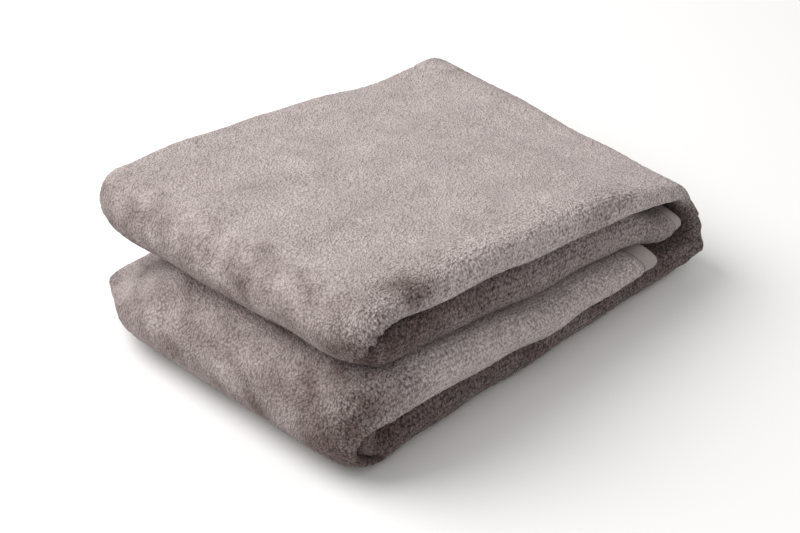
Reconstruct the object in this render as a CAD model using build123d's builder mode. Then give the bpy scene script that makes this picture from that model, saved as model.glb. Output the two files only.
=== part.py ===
"""Folded throw blanket: one plush cloth, bound and sewn at its two ends.

The cloth is folded in four across its width.  That strip has both its ends
folded in to the middle, and the pack is then folded in half round a spine,
so four layers lie on one another, each of them four plies.  Frame: x runs
from the left folds to the spine, y from the closed front to the hemmed back,
z up from the floor.  The origin is the middle of the resting face.
"""
from build123d import *
import os

os.makedirs("parts", exist_ok=True)

# Overall size of the folded pack, in millimetres.
pack_length = 430.0
pack_width = 325.0
height_at_folds = 150.0
height_at_spine = 115.0

# Cloth, tape and thread.
ply_gap = 1.2
hem_inset = 2.0
flap_to_spine_axis = 12.0
tape_width = 20.0
tape_thickness = 0.4
thread_width = 0.8
thread_depth = 0.25
thread_proud = 0.05
thread_from_tape_edge = 3.0
half_clearance = 0.3
pressed_flat = 0.5

# The four layers taper evenly from the left folds to the spine.  They are
# counted from floor_z, and the weight of the pack presses the underside of
# the lowest ply flat on z = 0.
layers = 4
plies = 4
layer_at_folds = height_at_folds / layers
layer_at_spine = height_at_spine / layers
floor_z = -ply_gap / 2 - pressed_flat
fold_axis_x = -pack_length / 2 + layer_at_folds
spine_axis_x = pack_length / 2 - 2 * layer_at_spine
spine_axis_z = floor_z + 2 * layer_at_spine
flap_end_x = spine_axis_x - flap_to_spine_axis
tape_start_x = flap_end_x - tape_width
thread_x = tape_start_x + thread_from_tape_edge
front_y = -pack_width / 2
back_y = pack_width / 2


def layer_height(x):
    """Height of one layer where the pack is cut at x."""
    share = (x - fold_axis_x) / (spine_axis_x - fold_axis_x)
    return layer_at_folds + share * (layer_at_spine - layer_at_folds)


def ply_outline(x, layer, grow=0.0):
    """Outline of one layer's four plies at x, with every face moved out by grow.

    Plies one and four meet round the front fold, plies two and three nest
    inside it, and plies three and four meet round the back fold.  The two
    hemmed edges are at the back of plies one and two, on the side that faces
    the flap, so odd layers are turned over.
    """
    height = layer_height(x)
    pitch = height / plies
    half = (pitch - ply_gap) / 2 + grow
    turned = layer % 2 == 1
    base = floor_z + height * (layer if turned else layer - 1)
    step = -1 if turned else 1
    front = front_y + 2 * pitch
    back = back_y - pitch
    hem = back_y - hem_inset + grow

    def at(y, level, offset=0.0):
        return (y, base + step * (pitch * (level - 0.5) + offset))

    def front_fold(start, end, radius):
        tip = at(front - radius, 2.5)
        return ThreePointArc(at(front, *start), tip, at(front, *end))

    def back_fold(start, end, radius):
        tip = at(back + radius, 3.5)
        return ThreePointArc(at(back, *start), tip, at(back, *end))

    Line(at(hem, 1, -half), at(front, 1, -half))
    front_fold((1, -half), (4, half), 1.5 * pitch + half)
    Line(at(front, 4, half), at(back, 4, half))
    back_fold((4, half), (3, -half), 0.5 * pitch + half)
    Line(at(back, 3, -half), at(front, 3, -half))
    front_fold((3, -half), (2, half), 0.5 * pitch - half)
    Line(at(front, 2, half), at(hem, 2, half))
    Line(at(hem, 2, half), at(hem, 2, -half))
    Line(at(hem, 2, -half), at(front, 2, -half))
    front_fold((2, -half), (3, half), 0.5 * pitch + half)
    Line(at(front, 3, half), at(back, 3, half))
    back_fold((3, half), (4, -half), 0.5 * pitch - half)
    Line(at(back, 4, -half), at(front, 4, -half))
    front_fold((4, -half), (1, half), 1.5 * pitch - half)
    Line(at(front, 1, half), at(hem, 1, half))
    Line(at(hem, 1, half), at(hem, 1, -half))


def plies_at(x, layer, grow=0.0):
    """Sketch of one layer's plies on the plane that cuts the pack at x."""
    with BuildSketch(Plane.YZ.offset(x)) as face:
        with BuildLine():
            ply_outline(x, layer, grow)
        make_face()
    return face.sketch


def straight_run(layer, start_x, end_x, grow=0.0, mode=Mode.ADD):
    """Plies of one layer between two cuts."""
    ends = [plies_at(start_x, layer, grow), plies_at(end_x, layer, grow)]
    loft(sections=ends, ruled=True, mode=mode)


def left_turn(layer):
    """Plies turned half a circle, from the layer given down to the one below it."""
    axis = Axis((fold_axis_x, 0, floor_z + (layer - 1) * layer_at_folds), (0, -1, 0))
    revolve(profiles=plies_at(fold_axis_x, layer), axis=axis, revolution_arc=180)


def spine_turn(layer, direction, keep):
    """Plies turned a quarter circle to the level of the spine's axis."""
    axis = Axis((spine_axis_x, 0, spine_axis_z), (0, direction, 0))
    revolve(profiles=plies_at(spine_axis_x, layer), axis=axis, revolution_arc=90)
    cut_z = spine_axis_z + direction * half_clearance / 2
    split(bisect_by=Plane.XY.offset(cut_z), keep=keep)


def press_flat():
    """Flatten the underside where the cloth rests."""
    split(bisect_by=Plane.XY, keep=Keep.TOP)


def end_thread(layer):
    """Sewing thread that lies half sunk in the tape all the way round the plies."""
    thread_end_x = thread_x + thread_width
    straight_run(layer, thread_x, thread_end_x, tape_thickness + thread_proud)
    straight_run(layer, thread_x, thread_end_x, tape_thickness - thread_depth, Mode.SUBTRACT)


def end_tape(layer, thread):
    """Binding tape folded over the flap's end, with a groove where its thread lies."""
    straight_run(layer, tape_start_x, flap_end_x + tape_thickness, tape_thickness)
    straight_run(layer, tape_start_x - tape_thickness, flap_end_x, mode=Mode.SUBTRACT)
    add(thread, mode=Mode.SUBTRACT)


# Lower half: it rests on the floor.
with BuildPart() as lower_outer_layer:
    straight_run(1, fold_axis_x, spine_axis_x)
    press_flat()

with BuildPart() as lower_left_fold:
    left_turn(2)
    press_flat()

with BuildPart() as lower_flap:
    straight_run(2, fold_axis_x, flap_end_x)

with BuildPart() as lower_spine:
    spine_turn(1, -1, Keep.BOTTOM)
    press_flat()

with BuildPart() as lower_end_thread:
    end_thread(2)

with BuildPart() as lower_end_tape:
    end_tape(2, lower_end_thread.part)

# Upper half: it opens away from the lower half round the spine.
with BuildPart() as upper_outer_layer:
    straight_run(4, fold_axis_x, spine_axis_x)

with BuildPart() as upper_left_fold:
    left_turn(4)

with BuildPart() as upper_flap:
    straight_run(3, fold_axis_x, flap_end_x)

with BuildPart() as upper_spine:
    spine_turn(4, 1, Keep.TOP)

with BuildPart() as upper_end_thread:
    end_thread(3)

with BuildPart() as upper_end_tape:
    end_tape(3, upper_end_thread.part)

# Export.
lower_outer_layer.part.label = "lower_outer_layer"
lower_left_fold.part.label = "lower_left_fold"
lower_flap.part.label = "lower_flap"
lower_spine.part.label = "lower_spine"
lower_end_tape.part.label = "lower_end_tape"
lower_end_thread.part.label = "lower_end_thread"
upper_outer_layer.part.label = "upper_outer_layer"
upper_left_fold.part.label = "upper_left_fold"
upper_flap.part.label = "upper_flap"
upper_spine.part.label = "upper_spine"
upper_end_tape.part.label = "upper_end_tape"
upper_end_thread.part.label = "upper_end_thread"

export_step(lower_outer_layer.part, "parts/lower_outer_layer.step")
export_step(lower_left_fold.part, "parts/lower_left_fold.step")
export_step(lower_flap.part, "parts/lower_flap.step")
export_step(lower_spine.part, "parts/lower_spine.step")
export_step(lower_end_tape.part, "parts/lower_end_tape.step")
export_step(lower_end_thread.part, "parts/lower_end_thread.step")
export_step(upper_outer_layer.part, "parts/upper_outer_layer.step")
export_step(upper_left_fold.part, "parts/upper_left_fold.step")
export_step(upper_flap.part, "parts/upper_flap.step")
export_step(upper_spine.part, "parts/upper_spine.step")
export_step(upper_end_tape.part, "parts/upper_end_tape.step")
export_step(upper_end_thread.part, "parts/upper_end_thread.step")
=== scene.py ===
"""Folded plush throw: the cloth, its end tapes and their seams, on a pale floor."""
import math

import bpy
import numpy as np
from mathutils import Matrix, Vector


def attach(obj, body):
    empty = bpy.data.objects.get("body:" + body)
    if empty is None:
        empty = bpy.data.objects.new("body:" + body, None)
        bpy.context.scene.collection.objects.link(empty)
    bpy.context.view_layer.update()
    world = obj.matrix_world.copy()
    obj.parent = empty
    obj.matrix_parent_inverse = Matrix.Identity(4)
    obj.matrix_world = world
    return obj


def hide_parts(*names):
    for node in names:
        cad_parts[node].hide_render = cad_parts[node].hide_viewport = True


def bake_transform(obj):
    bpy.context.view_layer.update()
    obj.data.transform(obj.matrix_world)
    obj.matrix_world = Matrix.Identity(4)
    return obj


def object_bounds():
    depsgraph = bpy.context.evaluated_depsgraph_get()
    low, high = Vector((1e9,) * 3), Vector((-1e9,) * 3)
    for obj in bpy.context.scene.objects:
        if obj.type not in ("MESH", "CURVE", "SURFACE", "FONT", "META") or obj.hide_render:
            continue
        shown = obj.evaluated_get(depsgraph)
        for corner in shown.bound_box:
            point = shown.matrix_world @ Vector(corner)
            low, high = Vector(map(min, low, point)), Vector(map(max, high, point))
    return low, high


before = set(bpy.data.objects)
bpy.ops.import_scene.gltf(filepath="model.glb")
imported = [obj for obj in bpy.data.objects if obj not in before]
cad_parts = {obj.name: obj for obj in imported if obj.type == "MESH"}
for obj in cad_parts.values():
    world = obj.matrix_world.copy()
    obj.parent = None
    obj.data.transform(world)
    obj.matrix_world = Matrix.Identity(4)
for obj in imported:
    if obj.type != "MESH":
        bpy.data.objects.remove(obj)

cad_bounds = [list(map(float, corner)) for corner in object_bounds()]

# ---------------------------------------------------------------- sizes, in metres
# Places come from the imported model.
left_x, front_y = cad_bounds[0][0], cad_bounds[0][1]
right_x, back_y = cad_bounds[1][0], cad_bounds[1][1]

# The cloth lies in two bundles joined by the spine at the right.  Each bundle is an
# outer layer, a left fold and a flap, and each layer is four plies of the cloth.
fold_x = left_x + 0.0464
spine_x = right_x - 0.0424
flap_end_x = {"upper": spine_x + 0.0070, "lower": spine_x - 0.0490}
plies = 4
ply_fill = 0.95

# Lengths of the cloth, used to space its columns and rows evenly.
turn_length = {"upper": 0.110, "lower": 0.125}
spine_length = {"upper": 0.078, "lower": 0.065}
cloth_depth = 0.30
ply_thickness = 0.0095
front_roll_length = 0.060
back_fold_length = 0.024

# Heights of the face on top of each layer, from the left folds to the spine.
stations = np.array([-0.190, -0.169, -0.1076, -0.0461, 0.0154, 0.0769, 0.1384, spine_x])
face_z = {
    1: np.array([0.0385, 0.0390, 0.0410, 0.0357, 0.0328, 0.0320, 0.0290, 0.0238]),
    2: np.array([0.0940, 0.0923, 0.0820, 0.0726, 0.0636, 0.0586, 0.0560, 0.0540]),
    3: np.array([0.1255, 0.1250, 0.1218, 0.1148, 0.1074, 0.0985, 0.0910, 0.0835]),
    4: np.array([0.1525, 0.1530, 0.1525, 0.1476, 0.1394, 0.1271, 0.1125, 0.0985]),
}
# Share of those heights that is left at the back edge.
back_height = np.array([0.885, 0.872, 0.842, 0.822, 0.812, 0.812, 0.815, 0.905])

# Front and back of each layer, counted from the bottom one.
front_in = {1: 0.002, 2: -0.010, 3: 0.003, 4: -0.002}
back_at = {1: 0.146, 2: 0.146, 3: 0.156, 4: 0.156}
spine_back_in = 0.011
# The left folds: x of their ends at the front and the back, and how these are rounded
# off there (at the front, at the back, width of the back rounding in shares).
left_end = {"upper": (-0.2030, -0.1995), "lower": (-0.2175, -0.2230)}
left_rounding = {"upper": (0.009, 0.010, 0.06), "lower": (0.005, 0.027, 0.11)}

# Section of the spine from its top to its underside: reach past the spine line, height.
# Further back it is fuller at the top, and wider.
spine_outside = np.array([[0.0, 0.0985], [0.0130, 0.0940], [0.0235, 0.0830], [0.0325, 0.0670],
                          [0.0388, 0.0500], [0.0400, 0.0350], [0.0345, 0.0205], [0.0245, 0.0085],
                          [0.0140, 0.0010], [0.0, 0.0]])
spine_inside = np.array([[0.0, 0.0835], [0.0110, 0.0795], [0.0200, 0.0690], [0.0262, 0.0560],
                         [0.0285, 0.0430], [0.0255, 0.0330], [0.0150, 0.0262], [0.0, 0.0238]])
spine_fuller = (0.013, 0.005)
spine_wider = 0.16

# The hemmed long edges: their share across the cloth, and how much of it is rounded.
hem_at = 1.03
hem_round_share = 0.016

# Plies from the front and the back of a layer to the middles of its outer folds.
front_inset = 1.98
back_inset = 0.98

# How the flaps end: the upper one sags, and the corners of both are rounded off. Two
# values are for the inside and the outside of the flap.
flap_sag = (0.017, 0.016)
hem_corners = {"upper": (0.0075, 0.004), "lower": (0.002, 0.008)}
lower_flap_droop = 0.50

# The near ends of the left folds, and the crumpled front of the spine.
gap_depth = {"upper": 0.013, "lower": 0.003}
mouth_depth = 0.023
gather_depth = 0.0034
loop_depth = 0.005
crease_depth = 0.007
tuck_depth = 0.0040
tuck_height = 0.050
crumple_depth = 0.0012

# Slack of the cloth, up and out, and the tufts of the pile (seed, size, height), which
# stand higher in the near corner.
slack_up = 0.0009
slack_out = 0.0006
big_tufts = (3.0, 0.0065, 0.0006)
small_tufts = (9.0, 0.0041, 0.0005)
middle_of_pile = 0.0005
corner_lumps = 1.4

pile_step = 0.0018


# ---------------------------------------------------------------- curves and noise

def smooth(low, high, value):
    t = np.clip((value - low) / (high - low), 0, 1)
    return t * t * (3 - 2 * t)


def bump(centre, width, value):
    return np.exp(-(((value - centre) / width) ** 2))


def through(xs, vs, x):
    """Smooth curve through the stations (cubic Hermite)."""
    slope = np.gradient(vs, xs)
    i = np.clip(np.searchsorted(xs, x) - 1, 0, len(xs) - 2)
    span = xs[i + 1] - xs[i]
    t = np.clip((x - xs[i]) / span, 0, 1)
    start, end = slope[i] * span, slope[i + 1] * span
    return (vs[i] * (2 * t**3 - 3 * t**2 + 1) + start * (t**3 - 2 * t**2 + t)
            + vs[i + 1] * (3 * t**2 - 2 * t**3) + end * (t**3 - t**2))


class Waves:
    """Smooth seeded noise in space: a sum of plane waves of about one length."""

    def __init__(self, seed, length, count=14):
        rng = np.random.default_rng(seed)
        way = rng.normal(size=(count, 3))
        way /= np.linalg.norm(way, axis=1)[:, None]
        self.k = way * (2 * math.pi / (length * rng.uniform(0.7, 1.4, count)))[:, None]
        self.phase = rng.uniform(0, 2 * math.pi, count)
        self.gain = math.sqrt(2 / count)

    def __call__(self, x, y, z):
        total = 0
        for (kx, ky, kz), phase in zip(self.k, self.phase):
            total = total + np.cos(kx * x + ky * y + kz * z + phase)
        return total * self.gain


def tufts(seed, size, s, t):
    """Seeded cell noise on the cloth: 1 in the middle of a tuft, towards 0 between tufts."""
    u, w = s / size, t / size
    cell_u, cell_w = np.floor(u), np.floor(w)
    nearest = np.full(np.broadcast(s, t).shape, 4.0)
    for du in (-1, 0, 1):
        for dw in (-1, 0, 1):
            a, b = cell_u + du, cell_w + dw
            jitter = np.sin(a * 127.1 + b * 311.7 + seed) * 43758.5453
            jitter_u = jitter - np.floor(jitter)
            jitter_w = jitter_u * 57.31 - np.floor(jitter_u * 57.31)
            nearest = np.minimum(nearest, np.hypot(a + jitter_u - u, b + jitter_w - w))
    return 1 - np.clip(nearest, 0, 1)


# ---------------------------------------------------------------- how the throw lies

def face_height(level, x, v):
    """Height of the face above layer `level` at x, v from 0 (front) to 1 (back)."""
    if level == 0:
        return np.zeros_like(x + v)
    x = np.clip(x, stations[0], stations[-1])
    lowered = 1 - through(stations, back_height, x)
    return through(stations, face_z[level], x) * (1 - lowered * smooth(-0.1, 1.1, v))


def lower_top(x, v):
    """Top of the lower flap: it droops at the back of the left fold."""
    droop = lower_flap_droop * smooth(0.70, 1.02, v) * bump(fold_x, 0.09, x)
    return face_height(2, x, v) * (1 - droop)


def parted(half, x, v):
    """Gap that opens between a layer and its flap at the near end of the left fold."""
    return gap_depth[half] * bump(fold_x + 0.006, 0.030, x) * bump(0, 0.11, v)


def run_point(half, s, e, v):
    """An outer layer, from the left fold (s = 0) to the spine (s = 1)."""
    x = fold_x + (spine_x - fold_x) * s
    gap = parted(half, x, v)
    if half == "upper":
        inside, outside = face_height(3, x, v) + 0.65 * gap, face_height(4, x, v)
    else:
        inside, outside = face_height(1, x, v) - 0.65 * gap, face_height(0, x, v)
    return x, inside + (outside - inside) * e


def flap_point(half, s, e, v):
    """A flap, from the left fold (s = 0) to its hemmed end (s = 1)."""
    x = fold_x + (flap_end_x[half] - fold_x) * s
    gap = parted(half, x, v)
    at_inside, at_outside = hem_corners[half]
    if half == "upper":
        near_hem = smooth(0.105, 0.180, x)
        inside = face_height(3, x, v) - 0.35 * gap - flap_sag[0] * near_hem
        outside = face_height(2, x, v) - flap_sag[1] * near_hem
        hem_round = at_inside * bump(0.0, 0.28, e) + at_outside * bump(1.0, 0.28, e)
    else:
        inside, outside = face_height(1, x, v) + 0.35 * gap, lower_top(x, v)
        hem_round = at_outside * bump(1.0, 0.35, e) + at_inside * bump(0.0, 0.30, e)
    return x - hem_round * smooth(0.8, 1.0, s), inside + (outside - inside) * e


def turn_point(half, s, e, v):
    """A left fold, from the flap (s = 0) round to the outer layer (s = 1)."""
    angle = math.pi * s
    front, back = left_end[half]
    near, far, width = left_rounding[half]
    end = front + (back - front) * v + near * bump(0, 0.07, v) + far * bump(1, width, v)
    start = np.zeros_like(v)
    hollow = 0.9 * parted(half, fold_x + start, v)
    _, flap_in = flap_point(half, start, start, v)
    _, flap_out = flap_point(half, start, start + 1, v)
    _, run_in = run_point(half, start, start, v)
    _, run_out = run_point(half, start, start + 1, v)
    centre = 0.65 * flap_in + 0.35 * run_in
    toward_flap = flap_in + (flap_out - flap_in) * e - centre
    toward_run = run_in + (run_out - run_in) * e - centre
    x = fold_x - (hollow + (fold_x - end - hollow) * e) * np.sin(angle)
    z = centre + np.where(np.cos(angle) > 0, toward_flap, -toward_run) * np.cos(angle)
    return x, z


def along_section(section, share):
    """Reach and height at a share of the way along a section of the spine."""
    knots = np.concatenate([[0], np.cumsum(np.linalg.norm(np.diff(section, axis=0), axis=1))])
    knots /= knots[-1]
    return through(knots, section[:, 0], share), through(knots, section[:, 1], share)


def spine_point(half, s, e, v):
    """The spine, from an outer layer (s = 0) to the middle of its height (s = 1)."""
    share = 0.5 * s if half == "upper" else 1 - 0.5 * s
    reach_in, height_in = along_section(spine_inside, share)
    reach_out, height_out = along_section(spine_outside, share)
    fuller = smooth(0.10, 0.75, v)
    reach_out = reach_out + spine_fuller[0] * fuller * bump(0.30, 0.20, share)
    height_out = height_out + spine_fuller[1] * fuller * bump(0.16, 0.14, share)
    taller = face_height(4, np.full_like(v, spine_x), v) / spine_outside[0, 1]
    wider = 1 + spine_wider * smooth(0.3, 1.0, v) * (1 - smooth(0.40, 0.80, share))
    x = spine_x + wider * (reach_in + (reach_out - reach_in) * e)
    return x, taller * (height_in + (height_out - height_in) * e)


# Stretches along the cloth from the upper hem to the lower one: name, half, maker,
# and the shares between which it runs.
stretches = [
    ("flap", "upper", flap_point, 1, 0), ("turn", "upper", turn_point, 0, 1),
    ("run", "upper", run_point, 0, 1), ("spine", "upper", spine_point, 0, 1),
    ("spine", "lower", spine_point, 1, 0), ("run", "lower", run_point, 1, 0),
    ("turn", "lower", turn_point, 1, 0), ("flap", "lower", flap_point, 0, 1),
]
# Layer that each stretch starts and ends in.
stretch_layers = [(3, 3), (3, 4), (4, 4), (4, 2.5), (2.5, 1), (1, 1), (1, 2), (2, 2)]
# How far it is part of the spine there: 0 not at all, 1 fully.
stretch_spine = [(0, 0), (0, 0), (0, 1), (1, 1), (1, 1), (1, 0), (0, 0), (0, 0)]


def stretch_length(kind, half):
    return {"flap": flap_end_x[half] - fold_x, "run": spine_x - fold_x,
            "turn": turn_length[half], "spine": spine_length[half]}[kind]


def columns(step):
    """Stretch, share and distance along the cloth of every column."""
    stretch, share, place, done = [], [], [], 0.0
    for number, (kind, half, _, first, last) in enumerate(stretches):
        length = stretch_length(kind, half)
        count = max(8, int(length / step))
        for i in range(0 if number == 0 else 1, count + 1):
            stretch.append(number)
            share.append(first + (last - first) * i / count)
            place.append(done + length * i / count)
        done += length
    return np.array(stretch), np.array(share), np.array(place)


def lay_out(stretch, share, level, v):
    """x and z of points: level runs from 0 (inside of the layer) to 1 (outside)."""
    x, z = np.zeros_like(level + v), np.zeros_like(level + v)
    for number, (_, half, point, _, _) in enumerate(stretches):
        here = stretch == number
        if here.any():
            s = share[here][:, None] * np.ones_like(v[here])
            x[here], z[here] = point(half, s, level[here], v[here])
    return x, z


def in_stretch(values, stretch, share):
    """A value given at both ends of every stretch, smooth between them."""
    start = np.array([a for a, _ in values])[stretch]
    end = np.array([b for _, b in values])[stretch]
    backwards = np.array([first == 1 for _, _, _, first, _ in stretches])[stretch]
    way = np.where(backwards, 1 - share, share)
    return start + (end - start) * smooth(0, 1, way)


# ---------------------------------------------------------------- rows across the cloth
# Each layer is the cloth folded in four plies: 2 and 3 are joined at the front, and
# so are 1 and 4 round them; 3 and 4 are joined at the back, and the hems lie there.
# A row is (share, shift, level, out_y, out_level): share is the way from the middle
# of the front fold (0) to the middle of the back fold (1), shift moves it from there
# in plies, and level counts plies up from the inside of the layer.

def arc_rows(count, centre, radius, at_front, way):
    """Rows round a fold at the front or the back; way is up (1) or down (-1)."""
    rows = []
    for i in range(1, count):
        angle = math.pi * i / count
        up, out = -math.cos(angle) * way, math.sin(angle)
        side = -out if at_front else out
        rows.append((0.0 if at_front else 1.0, side * radius, centre + up * radius, side, up))
    return rows


def straight_rows(level, start, end, count, normal):
    """Rows of one flat ply from one share across the layer to another."""
    return [(start + (end - start) * i / count, 0.0, level, 0.0, normal)
            for i in range(count + 1)]


def hem_rows(level, normal):
    """Rows that round a hemmed edge off, from its tip inwards."""
    return [(hem_at - hem_round_share * part, 0.0, level, 0.0, normal)
            for part in (0.0, 0.02, 0.10, 0.30, 0.60)]


def ply_rows(step):
    """All rows of the cloth from one hemmed edge to the other."""
    full = hem_at - hem_round_share
    seen, hidden = int(cloth_depth / step), int(cloth_depth / (4 * step))
    roll, back_fold = int(front_roll_length / step), int(back_fold_length / step)
    rows = hem_rows(0.5, -1) + straight_rows(0.5, full, 0.0, seen // 2, -1)
    rows += arc_rows(roll, 2.0, 1.5, True, 1)
    rows += straight_rows(3.5, 0.0, 1.0, seen, 1)
    rows += arc_rows(back_fold, 3.0, 0.5, False, -1)
    rows += straight_rows(2.5, 1.0, 0.0, hidden, -1)
    inner = arc_rows(back_fold, 2.0, 0.5, True, -1)
    rows += [(s, f, l, -ny, -nl) for s, f, l, ny, nl in inner]
    rows += straight_rows(1.5, 0.0, full, hidden, 1) + hem_rows(1.5, 1)[::-1]
    return np.array(rows).T


def row_places(rows):
    """Distance across the cloth of every row."""
    y = rows[0] * cloth_depth + rows[1] * ply_thickness
    z = rows[2] * ply_thickness
    return np.concatenate([[0], np.cumsum(np.hypot(np.diff(y), np.diff(z)))])


rows = ply_rows(pile_step)
across = row_places(rows)
stretch, share, along = columns(pile_step)

# Seeded waves of the slack, of the creases and of the nap: seed, length.
cloth_waves = Waves(11, 0.085)
edge_waves = Waves(23, 0.060)
spine_waves = Waves(31, 0.016)
nap_waves = Waves(47, 0.042)
nap_spots = Waves(53, 0.020)


def layer_thickness(stretch, share):
    """Thickness of the layer in every column, a third of the way back."""
    zero = np.zeros((len(stretch), 1))
    far = zero + 0.35
    inside = lay_out(stretch, share, zero, far)
    outside = lay_out(stretch, share, zero + 1, far)
    return np.hypot(outside[0] - inside[0], outside[1] - inside[1])[:, 0]


def cloth_points(rows, stretch, share, side, fill, end_inset=0.0):
    """Points of one side (+1 or -1) of the cloth for every column and row."""
    mix, shift, level, out_y, out_level = (r[None, :] for r in rows)
    ply = layer_thickness(stretch, share)[:, None] / plies
    hem_tip = np.clip((mix - hem_at + hem_round_share) / hem_round_share, 0, 0.995)
    half = 0.5 * ply * fill * np.sqrt(1 - hem_tip**2)
    number = in_stretch(stretch_layers, stretch, share)
    front = np.interp(number, list(front_in), list(front_in.values()))[:, None] + front_y
    back = np.interp(number, list(back_at), list(back_at.values()))[:, None]
    spined = in_stretch(stretch_spine, stretch, share)
    back = back - spine_back_in * spined[:, None]
    centre_front = front + end_inset + front_inset * ply
    centre_back = back - end_inset - back_inset * ply
    y = centre_front + (centre_back - centre_front) * mix + shift * ply
    y = y + side * out_y * half
    e = (level + side * out_level * half / ply) / plies
    v = (y - front) / (back - front)
    x, z = lay_out(stretch, share, e * np.ones_like(y), v)
    y = y + corner_folds(stretch, share, e, v)
    return settle(x, y, z)


def corner_folds(stretch, share, e, v):
    """How the near end of the left folds tucks in: a mouth above, a pinched loop below."""
    turn = share[:, None]
    at_front = bump(0, 0.07, v)
    low_half = smooth(0.0, 0.30, turn) * (1 - smooth(0.80, 1.0, turn))
    rim = 1.05 - 1.05 * smooth(0.12, 1.0, turn)
    mouth = mouth_depth * (1 - smooth(rim - 0.10, rim + 0.08, e)) * low_half
    gathers = (gather_depth * np.cos(44 * turn + 3 * e) * bump(rim + 0.16, 0.10, e)
               * bump(0.50, 0.25, turn))
    low_loop = smooth(0.00, 0.15, turn) * (1 - smooth(0.85, 1.0, turn))
    loop_edge = 0.05 + 0.69 * smooth(0.0, 0.55, turn)
    crease = (loop_depth * (1 - smooth(loop_edge - 0.03, loop_edge + 0.05, e))
              + crease_depth * bump(loop_edge - 0.04, 0.05, e))
    upper = np.where(stretch == 1, 1.0, 0.0)[:, None]
    lower = np.where(stretch == 6, 1.0, 0.0)[:, None]
    return at_front * (upper * (mouth + gathers) + lower * crease * low_loop)


def spine_creases(x, y, z):
    """The crumpled front of the spine: a tuck half way up and small creases below it."""
    inside = smooth(spine_x + 0.006, spine_x + 0.022, x) * bump(front_y, 0.030, y)
    inside = inside * (1 - smooth(spine_x + 0.032, spine_x + 0.041, x))
    tuck = tuck_depth * bump(tuck_height, 0.0030, z - 0.35 * (x - spine_x - 0.035))
    under_tuck = smooth(0.056, 0.040, z) * smooth(0.0, 0.012, z)
    below = crumple_depth * spine_waves(x, y, z) * under_tuck
    return inside * (tuck + below)


def settle(x, y, z):
    """The slack of real cloth: gentle waves that leave the resting face flat."""
    up = smooth(0.0, 0.05, z)
    near_front = bump(front_y, 0.035, y)
    z = z + slack_up * cloth_waves(x, y, 0.3 * z) * up
    y = y + slack_out * edge_waves(x, 0.3 * y, z) * near_front + spine_creases(x, y, z)
    return x, y, z


def normals_of(x, y, z, side):
    """Outward normals of a grid of points on one side of the cloth."""
    p = np.stack([x, y, z], -1)
    n = np.cross(np.gradient(p, axis=0), np.gradient(p, axis=1))
    n /= np.maximum(np.linalg.norm(n, axis=-1, keepdims=True), 1e-12)
    return n * side


def shown_rows(rows):
    """1 for the rows whose pile shows, towards 0 for the rows between plies."""
    share_across, _, level, out_y, _ = rows
    in_front_roll = out_y < -0.01
    in_back_fold = (share_across == 1) & (level > 2.4)
    shown = (level > 3.2) | in_front_roll | in_back_fold
    return np.convolve(shown, np.ones(5) / 5, "same")[None, :]


def with_pile(points, side):
    """Points moved out by the tufts of the pile, on the side of the cloth that shows."""
    n = normals_of(*points, side)
    seed, size, tall = big_tufts
    height = tall * tufts(seed, size, cloth_s + 7, cloth_t)
    seed, size, tall = small_tufts
    height = height + tall * tufts(seed, size, cloth_s, cloth_t + 3)
    in_corner = bump(fold_x, 0.03, points[0]) * bump(front_y, 0.02, points[1])
    height = height * (1 + corner_lumps * in_corner)
    height = (height - middle_of_pile) * shown_rows(rows)
    height *= smooth(0.0, 0.004, points[2])
    return [p + height * n[..., i] for i, p in enumerate(points)]


# ---------------------------------------------------------------- meshes

def grid_faces(first, rows_count, columns_count, flip):
    """Faces of a grid of points that starts at index first."""
    i = np.arange(columns_count - 1)[:, None] * rows_count
    j = np.arange(rows_count - 1)[None, :]
    a = first + (i + j).ravel()
    quad = np.stack([a, a + rows_count, a + rows_count + 1, a + 1], 1)
    return quad[:, ::-1] if flip else quad


def strip_faces(lower, upper, flip):
    """Faces between two lines of point indices."""
    quad = np.stack([lower[:-1], lower[1:], upper[1:], upper[:-1]], 1)
    return quad[:, ::-1] if flip else quad


def mesh_object(name, points, faces, normals=None):
    """New object from four-sided faces; normals are one for each corner of each face."""
    mesh = bpy.data.meshes.new(name)
    mesh.vertices.add(len(points))
    mesh.vertices.foreach_set("co", points.astype(np.float32).ravel())
    mesh.loops.add(faces.size)
    mesh.loops.foreach_set("vertex_index", faces.astype(np.int32).ravel())
    mesh.polygons.add(len(faces))
    mesh.polygons.foreach_set("loop_start", np.arange(0, faces.size, 4, dtype=np.int32))
    mesh.polygons.foreach_set("use_smooth", np.ones(len(faces), dtype=bool))
    mesh.update(calc_edges=True)
    if normals is not None:
        mesh.normals_split_custom_set(normals.tolist())
    piece = bpy.data.objects.new(name, mesh)
    bpy.context.scene.collection.objects.link(piece)
    return piece


def add_attribute(piece, name, vectors):
    attribute = piece.data.attributes.new(name, "FLOAT_VECTOR", "POINT")
    attribute.data.foreach_set("vector", vectors.astype(np.float32).ravel())


def stack_sides(sides, keep):
    """Points of the kept columns of two grids, one grid after the other."""
    return np.concatenate([np.stack(side, -1)[keep].reshape(-1, 3) for side in sides])


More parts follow.
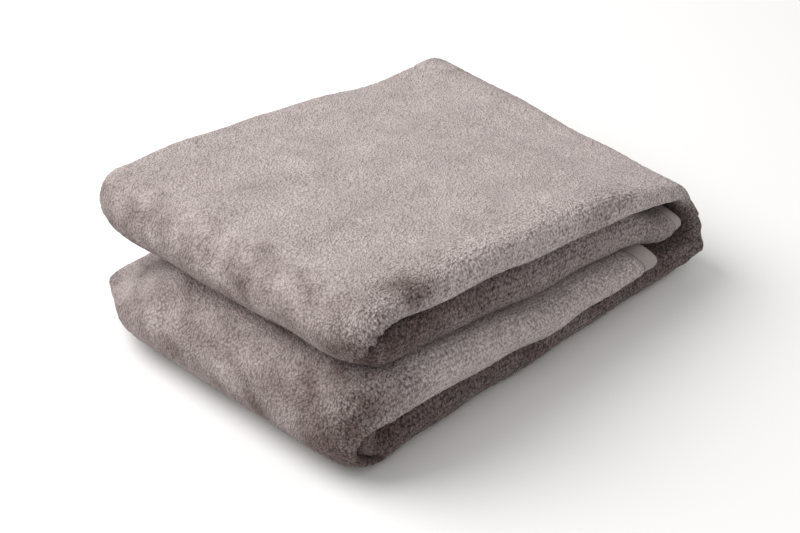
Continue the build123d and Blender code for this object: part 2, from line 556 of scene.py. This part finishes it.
def closed_sheet(name, outside, inside, normals, keep):
    """Closed mesh from the kept columns of two grids, joined round their edges."""
    n_columns, n_rows = np.count_nonzero(keep), outside[0].shape[1]
    count = n_columns * n_rows
    index = np.arange(count).reshape(n_columns, n_rows)
    faces = [grid_faces(0, n_rows, n_columns, False),
             grid_faces(count, n_rows, n_columns, True),
             strip_faces(index[0], index[0] + count, False),
             strip_faces(index[-1], index[-1] + count, True),
             strip_faces(index[:, 0], index[:, 0] + count, True),
             strip_faces(index[:, -1], index[:, -1] + count, False)]
    points = stack_sides((outside, inside), keep)
    smooth_normals = np.concatenate([n[keep].reshape(-1, 3) for n in normals])
    edges = np.concatenate(faces[2:])
    a, b, c, d = (points[edges[:, k]] for k in range(4))
    edge_normals = np.cross(c - a, d - b)
    edge_normals /= np.maximum(np.linalg.norm(edge_normals, axis=1, keepdims=True), 1e-12)
    corner_normals = np.concatenate([smooth_normals[np.concatenate(faces[:2]).ravel()],
                                     np.repeat(edge_normals, 4, axis=0)])
    return mesh_object(name, points, np.concatenate(faces), corner_normals)


# How the pile lies at both ends of each stretch: 0 is brushed towards the eye and dark,
# 1 is brushed away and light.
nap_ends = [(0.56, 0.10), (0.10, 0.72), (0.80, 0.94), (0.94, 0.20),
            (0.20, 0.12), (0.12, 0.14), (0.14, 0.60), (0.64, 0.82)]
# Painted light on the shaded front of the top roll.
roll_painted_light = 0.18
# Painted highlight in spots along the lower lip of the upper left fold.
lip_painted_highlight = 0.30
# Lighter still on the lower flap: partly its lighter pile, partly painted light on its shaded
# front.
low_flap_pile_and_painted_light = 0.62
# Most that the pile's lightness and the painted light together may reach.
lightest_lie_and_light = 1.32
patchy = {"turn": 0.15, "else": 0.05}

# Patches where the pile is made darker: (how dark, place, size).
near_x = left_x + 0.010
dark_patches = [
    (1.10, (fold_x + 0.027, front_y + 0.011, 0.146), (0.024, 0.018, 0.012)),
    (0.46, (0.088, front_y + 0.004, 0.118), (0.040, 0.020, 0.011)),
    (0.50, (fold_x - 0.019, front_y, 0.026), (0.018, 0.020, 0.013)),
    (0.22, (near_x, front_y + 0.030, 0.080), (0.03, 0.05, 0.02)),
    (0.16, (near_x + 0.010, front_y + 0.010, 0.118), (0.03, 0.03, 0.02)),
    (0.36, (near_x, front_y + 0.015, 0.030), (0.05, 0.04, 0.05)),
    (0.30, (near_x, back_y - 0.02, 0.118), (0.03, 0.02, 0.018)),
    (0.12, (0.10, 0.0, 0.12), (0.03, 0.10, 0.03)),
]


def darkened_patches(x, y, z):
    """How much darker the patches make the pile."""
    total = 0
    for dark, place, size in dark_patches:
        far = sum(((a - b) / c) ** 2 for a, b, c in zip((x, y, z), place, size))
        total = total + dark * np.exp(-far)
    return total


def lie_and_light_of_pile(points):
    """Lightness of the pile with painted light added, nearness to the front fold and place
    across the cloth, as a vector. The lightness follows how the pile is stroked, plus painted
    light on the shaded front of the top roll, the lower flap lifted by its lighter pile and by
    painted light on its shaded front, a painted highlight along the lower lip of the upper
    left fold, and darker patches.
    """
    x, y, z = points
    nap_and_painted_light = in_stretch(nap_ends, stretch, share)[:, None] * np.ones_like(x)
    strength = np.where(np.isin(stretch, (1, 6)), patchy["turn"], patchy["else"])[:, None]
    patches = 0.6 * nap_waves(x, y, z) + 0.4 * nap_spots(x, y, z)
    near_front = bump(front_y, 0.030, y)
    # Painted light on the shaded front of the top roll.
    top_roll_painted_light = np.where(stretch == 2, roll_painted_light, 0.0)[:, None] * near_front
    # Painted highlight in spots along the lower lip of the upper left fold.
    lip_painted_highlight_band = np.where(stretch == 1, lip_painted_highlight, 0.0) * bump(0.09, 0.045, share)
    # Lighter still on the lower flap: partly its lighter pile, partly painted light on its shaded
    # front.
    low_flap_pile_and_light = np.where(stretch == 7, low_flap_pile_and_painted_light, 0.0) * smooth(0.0, 0.22, share)
    lip_painted_highlight_spots = lip_painted_highlight_band[:, None] * smooth(0.2, 1.0, nap_spots(x, y, z))
    nap_and_painted_light = nap_and_painted_light + strength * patches + top_roll_painted_light + lip_painted_highlight_spots + low_flap_pile_and_light[:, None]
    nap_and_painted_light = nap_and_painted_light - darkened_patches(x, y, z)
    return np.clip(nap_and_painted_light, 0, lightest_lie_and_light), near_front, cloth_t


cloth_s, cloth_t = np.meshgrid(along, across, indexing="ij")
outer = with_pile(cloth_points(rows, stretch, share, 1, ply_fill), 1)
inner = cloth_points(rows, stretch, share, -1, ply_fill)
cloth_normals = [normals_of(*outer, 1), normals_of(*inner, -1)]
cloth_lie_and_light = [lie_and_light_of_pile(outer), lie_and_light_of_pile(inner)]


def make_cloth(name, keep):
    piece = closed_sheet(name, outer, inner, cloth_normals, keep)
    add_attribute(piece, "cloth_place", stack_sides((outer, inner), keep))
    add_attribute(piece, "pile_lie_and_light", stack_sides(cloth_lie_and_light, keep))
    return piece


def with_edge(keep, near):
    """The columns of a piece and the one next to them, which it shares with its neighbour."""
    keep = keep.copy()
    keep[near] = True
    return keep


in_spine = (stretch == 3) | (stretch == 4)
first_spine = np.nonzero(in_spine)[0][0]
last_spine = np.nonzero(in_spine)[0][-1]
cloth_upper = make_cloth("throw_upper_half", stretch <= 2)
cloth_spine = make_cloth("throw_spine", with_edge(in_spine, first_spine - 1))
cloth_lower = make_cloth("throw_lower_half", with_edge(stretch >= 5, last_spine))


# ---------------------------------------------------------------- end tapes and seams

tape_step = 0.0045
tape_columns_count = 22
tape_shown = {"upper": 0.0135, "lower": 0.0220}
tape_hidden = 0.004
tape_fill = 0.80
tape_inset = 0.0012
tip_round = 0.0025
seam_from_cloth = 0.0035
stitch_pitch = 0.0042
thread_radius = 0.00035
flap_stretch = {"upper": 0, "lower": 7}
tape_rows = ply_rows(tape_step)
tape_across = row_places(tape_rows)


def tape_reach(half):
    """Distance past the end of the plush for every column of a tape."""
    return np.linspace(-tape_hidden, tape_shown[half], tape_columns_count)


def tape_columns(half):
    """Shares along the flap for a tape's columns, and how full the tape is there."""
    reach = tape_reach(half)
    tip = np.clip((reach - (tape_shown[half] - tip_round)) / tip_round, 0, 0.995)
    return 1 + reach / (flap_end_x[half] - fold_x), np.sqrt(1 - tip**2)


def tape_grid(half, number, side, grow=0.0):
    shares, full = tape_columns(half)
    sides = [cloth_points(tape_rows, np.array([number]), np.array([s]), side,
                          tape_fill * f + grow, tape_inset) for s, f in zip(shares, full)]
    return [np.concatenate([part[k] for part in sides]) for k in range(3)]


def make_tape(half):
    number = flap_stretch[half]
    order = slice(None, None, -1) if half == "upper" else slice(None)
    outside = [p[order] for p in tape_grid(half, number, 1)]
    inside = [p[order] for p in tape_grid(half, number, -1)]
    keep = np.ones(len(outside[0]), bool)
    normals = [normals_of(*outside, 1), normals_of(*inside, -1)]
    piece = closed_sheet(f"{half}_end_tape_band", outside, inside, normals, keep)
    s, t = np.meshgrid(tape_reach(half)[order], tape_across, indexing="ij")
    add_attribute(piece, "cloth_place", stack_sides([(t, s, 0 * s), (t, s, 0 * s + 1)], keep))
    return piece


def seam_line(half):
    """Points of the seam on the outside of a tape, and the tape's normals there."""
    grid = tape_grid(half, flap_stretch[half], 1)
    outward = normals_of(*grid, -1 if half == "upper" else 1)
    at = int(np.argmin(abs(tape_reach(half) - seam_from_cloth)))
    first, last = len(tape_across) // 40, int(len(tape_across) * 0.62)
    return np.stack(grid, -1)[at][first:last], outward[at][first:last]


def resample(line, values, step):
    """Points and their values at an even step along a line."""
    length = np.concatenate([[0], np.cumsum(np.linalg.norm(np.diff(line, axis=0), axis=1))])
    at = np.arange(0, length[-1], step)
    line, values = ([np.interp(at, length, a[:, k]) for k in range(3)] for a in (line, values))
    return np.stack(line, -1), np.stack(values, -1), at


def make_seam(half):
    """One running thread: long stitches on the tape with short dips between them."""
    line, normal, at = resample(*seam_line(half), stitch_pitch / 12)
    dip = bump(0.5, 0.10, (at / stitch_pitch) % 1.0)
    line = line + normal * (thread_radius * (0.9 - 3.2 * dip))[:, None]
    tangent = np.gradient(line, axis=0)
    tangent /= np.linalg.norm(tangent, axis=1)[:, None]
    side = np.cross(tangent, normal)
    side /= np.linalg.norm(side, axis=1)[:, None]
    up = np.cross(side, tangent)
    sides = 8
    angle = np.linspace(0, 2 * math.pi, sides, endpoint=False)
    ring = side[:, None] * np.cos(angle)[:, None] + up[:, None] * np.sin(angle)[:, None]
    points = (line[:, None] + thread_radius * ring).reshape(-1, 3)
    i, j = np.arange(len(line) - 1)[:, None] * sides, np.arange(sides)[None, :]
    a, b = (i + j).ravel(), (i + (j + 1) % sides).ravel()
    walls = np.stack([a, a + sides, b + sides, b], 1)
    ends = []
    for first, order in ((0, 1), (len(points) - sides, -1)):
        cap = (first + np.array([[0, 1, 2, 3], [0, 3, 4, 7], [4, 5, 6, 7]]))
        ends.append(cap[:, ::order])
    piece = mesh_object(f"{half}_tape_seam", points, np.concatenate([walls] + ends))
    add_attribute(piece, "cloth_place", np.stack([
        np.repeat(at, sides), np.tile(angle * thread_radius, len(line)), 0 * points[:, 0]], -1))
    return piece


tape_upper, tape_lower = make_tape("upper"), make_tape("lower")
seam_upper, seam_lower = make_seam("upper"), make_seam("lower")


# ---------------------------------------------------------------- node helpers

def add(tree, kind, settings=None, **values):
    """Add a node; values are numbers, colours or sockets to link, by input name."""
    made = tree.nodes.new("ShaderNode" + kind)
    for name, value in (settings or {}).items():
        setattr(made, name, value)
    for name, value in values.items():
        key = int(name[1:]) if name[0] == "i" and name[1:].isdigit() else name.replace("_", " ")
        if isinstance(value, bpy.types.NodeSocket):
            tree.links.new(value, made.inputs[key])
        else:
            made.inputs[key].default_value = value
    return made


def calc(tree, operation, a, b=0.0, c=0.0):
    return add(tree, "Math", {"operation": operation}, i0=a, i1=b, i2=c).outputs[0]


def scaled(tree, value, gain, offset):
    return calc(tree, "MULTIPLY_ADD", value, gain, offset)


def shader_group(name, inputs, outputs):
    """Empty node group with its named sockets: (tree, its input node, its output node)."""
    tree = bpy.data.node_groups.new(name, "ShaderNodeTree")
    for socket, kind, value in inputs:
        made = tree.interface.new_socket(socket, in_out="INPUT", socket_type="NodeSocket" + kind)
        if value is not None:
            made.default_value = value
    for socket, kind in outputs:
        tree.interface.new_socket(socket, in_out="OUTPUT", socket_type="NodeSocket" + kind)
    return tree, tree.nodes.new("NodeGroupInput"), tree.nodes.new("NodeGroupOutput")


def use_group(tree, group, **values):
    """Place a node group; values are numbers or sockets to link, by input name."""
    made = tree.nodes.new("ShaderNodeGroup")
    made.node_tree = group
    for name, value in values.items():
        if isinstance(value, bpy.types.NodeSocket):
            tree.links.new(value, made.inputs[name])
        else:
            made.inputs[name].default_value = value
    return made


def make_fibres():
    """Short fibres: fine streaks whose way swirls over the cloth."""
    tree, given, out = shader_group("fibres", [
        ("Place", "Vector", None), ("Fineness", "Float", 500.0), ("Stretch", "Float", 0.5),
        ("Swirl", "Float", 0.004)], [("Mask", "Float"), ("Height", "Float")])
    swirl = add(tree, "TexNoise", Vector=given.outputs["Place"], Scale=28.0, Detail=1.0)
    off = add(tree, "VectorMath", {"operation": "SUBTRACT"}, i0=swirl.outputs["Color"],
              i1=(0.5, 0.5, 0.5))
    lean = add(tree, "VectorMath", {"operation": "SCALE"}, i0=off.outputs[0],
               Scale=given.outputs["Swirl"])
    moved = add(tree, "VectorMath", {"operation": "ADD"}, i0=given.outputs["Place"],
                i1=lean.outputs[0])
    turned = add(tree, "VectorRotate", {"rotation_type": "Z_AXIS"}, Vector=moved.outputs[0],
                 Angle=math.radians(-45))
    shape = add(tree, "CombineXYZ", X=given.outputs["Stretch"], Y=1.0, Z=given.outputs["Stretch"])
    drawn = add(tree, "VectorMath", {"operation": "MULTIPLY"}, i0=turned.outputs[0],
                i1=shape.outputs[0])
    cells = add(tree, "TexVoronoi", Vector=drawn.outputs[0], Scale=given.outputs["Fineness"])
    noise = add(tree, "TexNoise", Vector=drawn.outputs[0], Scale=given.outputs["Fineness"],
                Detail=2.0, Roughness=0.6)
    tips = add(tree, "MapRange", i0=cells.outputs["Distance"], i1=0.75, i2=0.10)
    uneven = add(tree, "MapRange", i0=noise.outputs["Fac"], i1=0.30, i2=0.70)
    both = scaled(tree, tips.outputs[0], 0.6, calc(tree, "MULTIPLY", uneven.outputs[0], 0.4))
    tree.links.new(both, out.inputs["Mask"])
    tree.links.new(both, out.inputs["Height"])
    return tree


def make_rows():
    """Knitted or woven rows at an even pitch along the second way of the cloth."""
    tree, given, out = shader_group("rows", [
        ("Place", "Vector", None), ("Pitch", "Float", 0.003), ("Wobble", "Float", 0.0006)],
        [("Height", "Float")])
    noise = add(tree, "TexNoise", Vector=given.outputs["Place"], Scale=60.0, Detail=2.0)
    split = add(tree, "SeparateXYZ", Vector=given.outputs["Place"])
    wobble = calc(tree, "MULTIPLY", noise.outputs["Fac"],
                  calc(tree, "MULTIPLY", given.outputs["Wobble"], 4.0))
    moved = calc(tree, "ADD", split.outputs["Y"], wobble)
    turns = calc(tree, "DIVIDE", moved, given.outputs["Pitch"])
    wave = calc(tree, "SINE", calc(tree, "MULTIPLY", turns, 2 * math.pi))
    tree.links.new(scaled(tree, wave, 0.5, 0.5), out.inputs["Height"])
    return tree


def make_mottle():
    """Soft uneven patches."""
    tree, given, out = shader_group("mottle", [
        ("Place", "Vector", None), ("Size", "Float", 0.02)], [("Mask", "Float")])
    scale = calc(tree, "DIVIDE", 1.0, given.outputs["Size"])
    noise = add(tree, "TexNoise", Vector=given.outputs["Place"], Scale=scale, Detail=3.0,
                Roughness=0.55)
    soft = add(tree, "MapRange", i0=noise.outputs["Fac"], i1=0.3, i2=0.7)
    tree.links.new(soft.outputs[0], out.inputs["Mask"])
    return tree


fibres, knit_rows, mottle = make_fibres(), make_rows(), make_mottle()


def new_material(name, roughness, sheen, sheen_roughness, sheen_tint):
    """Material with its shader and output: (material, tree, shader)."""
    material = bpy.data.materials.new(name)
    material.use_nodes = True
    tree = material.node_tree
    shader = tree.nodes["Principled BSDF"]
    shader.inputs["Roughness"].default_value = roughness
    shader.inputs["Specular IOR Level"].default_value = 0.25
    shader.inputs["Sheen Weight"].default_value = sheen
    shader.inputs["Sheen Roughness"].default_value = sheen_roughness
    shader.inputs["Sheen Tint"].default_value = sheen_tint
    return material, tree, shader


def mix_colours(tree, factor, dark, light, way="MIX"):
    """Colour between two colours or colour sockets."""
    settings = {"data_type": "RGBA", "blend_type": way}
    return add(tree, "Mix", settings, Factor=factor, i6=dark, i7=light).outputs[2]


plush_dark = (0.128, 0.087, 0.079, 1)
plush_light = (0.555, 0.482, 0.470, 1)
tape_dark = (0.33, 0.285, 0.275, 1)
tape_light = (0.42, 0.37, 0.36, 1)
thread_dark = (0.22, 0.185, 0.175, 1)
thread_light = (0.34, 0.295, 0.285, 1)


def make_plush():
    """Warm grey plush: cut pile that is light or dark with the way it is stroked, with the
    painted light and painted highlight carried in the same attribute, and darker patches.
    """
    material, tree, shader = new_material("plush_pile", 0.92, 0.18, 0.45, (0.95, 0.90, 0.88, 1))
    place = add(tree, "Attribute", {"attribute_name": "cloth_place"}).outputs["Vector"]
    lie_and_light = add(tree, "Attribute", {"attribute_name": "pile_lie_and_light"}).outputs["Vector"]
    lie_and_light = add(tree, "SeparateXYZ", Vector=lie_and_light)
    fine = use_group(tree, fibres, Place=place, Fineness=560.0, Stretch=0.75, Swirl=0.012)
    tuft = use_group(tree, fibres, Place=place, Fineness=210.0, Stretch=0.8, Swirl=0.010)
    patch = use_group(tree, mottle, Place=place, Size=0.030)
    rows_place = add(tree, "CombineXYZ", X=0.0, Y=lie_and_light.outputs["Z"], Z=0.0).outputs[0]
    lines = use_group(tree, knit_rows, Place=rows_place, Pitch=0.0036, Wobble=0.0005)
    row_share = calc(tree, "MULTIPLY", lie_and_light.outputs["Y"], lines.outputs["Height"])
    broad = scaled(tree, patch.outputs["Mask"], 0.12, -0.06)
    value = calc(tree, "ADD", lie_and_light.outputs["X"], broad)
    # Colour from the pile's lightness with the painted light and highlight added to it, and
    # darker in patches.
    nap_and_light_colour = mix_colours(tree, value, plush_dark, plush_light)
    depth = calc(tree, "ADD", scaled(tree, lie_and_light.outputs["X"], -0.40, 1.03),
                 calc(tree, "MULTIPLY", lie_and_light.outputs["Y"], 0.45))
    grain = calc(tree, "ADD", scaled(tree, fine.outputs["Mask"], 1.15, -0.575),
                 scaled(tree, tuft.outputs["Mask"], 0.28, -0.14))
    grain = calc(tree, "SUBTRACT", grain, calc(tree, "MULTIPLY", row_share, 0.12))
    shade = calc(tree, "ADD", calc(tree, "MULTIPLY", grain, depth), 1.0)
    shading = add(tree, "CombineColor", Red=shade, Green=shade, Blue=shade)
    colour = mix_colours(tree, 1.0, nap_and_light_colour, shading.outputs[0], "MULTIPLY")
    tree.links.new(colour, shader.inputs["Base Color"])
    height = calc(tree, "ADD", fine.outputs["Height"],
                  calc(tree, "MULTIPLY", tuft.outputs["Height"], 0.5))
    height = calc(tree, "ADD", height, calc(tree, "MULTIPLY", row_share, 0.15))
    surface = add(tree, "Bump", Strength=1.0, Distance=0.0016, Height=height)
    tree.links.new(surface.outputs[0], shader.inputs["Normal"])
    return material


def make_tape_cloth():
    """Smooth woven tape, a little greyer than the plush."""
    material, tree, shader = new_material("woven_tape", 0.75, 0.12, 0.4, (0.9, 0.88, 0.87, 1))
    place = add(tree, "Attribute", {"attribute_name": "cloth_place"}).outputs["Vector"]
    ribs = use_group(tree, knit_rows, Place=place, Pitch=0.0009, Wobble=0.0001)
    fuzz = use_group(tree, fibres, Place=place, Fineness=900.0, Stretch=0.3, Swirl=0.001)
    patch = use_group(tree, mottle, Place=place, Size=0.012)
    value = calc(tree, "ADD", calc(tree, "MULTIPLY", patch.outputs["Mask"], 0.5),
                 calc(tree, "MULTIPLY", fuzz.outputs["Mask"], 0.5))
    colour = mix_colours(tree, value, tape_dark, tape_light)
    tree.links.new(colour, shader.inputs["Base Color"])
    height = calc(tree, "ADD", calc(tree, "MULTIPLY", ribs.outputs["Height"], 0.6),
                  fuzz.outputs["Height"])
    surface = add(tree, "Bump", Strength=0.5, Distance=0.0004, Height=height)
    tree.links.new(surface.outputs[0], shader.inputs["Normal"])
    return material


def make_thread():
    """Twisted sewing thread."""
    material, tree, shader = new_material("sewing_thread", 0.6, 0.1, 0.3, (0.9, 0.88, 0.87, 1))
    place = add(tree, "Attribute", {"attribute_name": "cloth_place"}).outputs["Vector"]
    twist = use_group(tree, fibres, Place=place, Fineness=1500.0, Stretch=1.0, Swirl=0.0)
    colour = mix_colours(tree, twist.outputs["Mask"], thread_dark, thread_light)
    tree.links.new(colour, shader.inputs["Base Color"])
    surface = add(tree, "Bump", Strength=0.4, Distance=0.0002, Height=twist.outputs["Height"])
    tree.links.new(surface.outputs[0], shader.inputs["Normal"])
    return material


cloth_pieces = (cloth_upper, cloth_spine, cloth_lower)
tape_pieces = (tape_upper, tape_lower)
seam_pieces = (seam_upper, seam_lower)
for pieces, material, slot in ((cloth_pieces, make_plush(), "plush"),
                               (tape_pieces, make_tape_cloth(), "tape"),
                               (seam_pieces, make_thread(), "thread")):
    for piece in pieces:
        piece.data.materials.append(material)


# ---------------------------------------------------------------- camera, floor, lights

floor_half = 6.0
floor_grey = 0.95
key_place = (-0.72, 0.88, 1.50)
key_size = 1.7
key_power = 32
key_tint = (1.0, 0.99, 0.985)
room_light = 0.61
room_tint = (1, 0.985, 0.97, 1)


def aimed(thing, place, aim):
    """Link an object at its place, turned to look at a point."""
    thing.location = place
    thing.rotation_mode = "QUATERNION"
    thing.rotation_quaternion = (Vector(aim) - Vector(place)).to_track_quat("-Z", "Y")
    bpy.context.scene.collection.objects.link(thing)
    return thing


def make_camera():
    """Long lens from the front left, above the near corner."""
    data = bpy.data.cameras.new("camera")
    azimuth, elevation, distance = math.radians(-45.4), math.radians(34.5), 1.845
    target = Vector((-0.0051, -0.0041, 0.0697))
    away = Vector((math.sin(azimuth) * math.cos(elevation),
                   -math.cos(azimuth) * math.cos(elevation), math.sin(elevation)))
    data.sensor_width, data.lens = 36, 99.0
    data.shift_x, data.shift_y = 0.00875, -0.0506
    data.clip_start, data.clip_end = 0.05, 50
    cam = aimed(bpy.data.objects.new("camera", data), target + away * distance, target)
    bpy.context.scene.camera = cam


def make_light(name, place, size, power, tint):
    """Round soft light aimed at the middle of the throw."""
    data = bpy.data.lights.new(name, "AREA")
    data.shape = "DISK"
    data.size, data.energy, data.color = size, power, tint
    aimed(bpy.data.objects.new(name, data), place, (0, 0, 0.05))


def make_floor(half):
    """Pale flat floor, this far from the middle to each side."""
    mesh = bpy.data.meshes.new("floor")
    mesh.from_pydata([(-half, -half, 0), (half, -half, 0), (half, half, 0), (-half, half, 0)],
                     [], [(0, 1, 2, 3)])
    floor = bpy.data.objects.new("floor", mesh)
    bpy.context.scene.collection.objects.link(floor)
    paint = bpy.data.materials.new("pale_floor")
    paint.use_nodes = True
    shader = paint.node_tree.nodes["Principled BSDF"]
    shader.inputs["Base Color"].default_value = (floor_grey, floor_grey, floor_grey, 1)
    shader.inputs["Roughness"].default_value = 1.0
    mesh.materials.append(paint)


def make_world(strength):
    """Even light from all round."""
    world = bpy.data.worlds.new("studio")
    world.use_nodes = True
    background = world.node_tree.nodes["Background"]
    background.inputs["Color"].default_value = room_tint
    background.inputs["Strength"].default_value = strength
    bpy.context.scene.world = world


make_camera()
make_floor(floor_half)
make_light("key", key_place, key_size, key_power, key_tint)
make_world(room_light)
bpy.context.scene.view_settings.view_transform = "Standard"

# ---------------------------------------------------------------- bodies, and the model's own parts hidden

for half, pieces in (("upper", (cloth_upper, tape_upper, seam_upper)),
                     ("lower", (cloth_lower, tape_lower, seam_lower))):
    for piece in pieces:
        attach(piece, f"{half}_half")
    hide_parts(f"{half}_outer_layer", f"{half}_left_fold", f"{half}_flap")
    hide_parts(f"{half}_end_tape")
    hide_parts(f"{half}_end_thread")
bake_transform(cloth_spine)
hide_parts("upper_spine", "lower_spine")
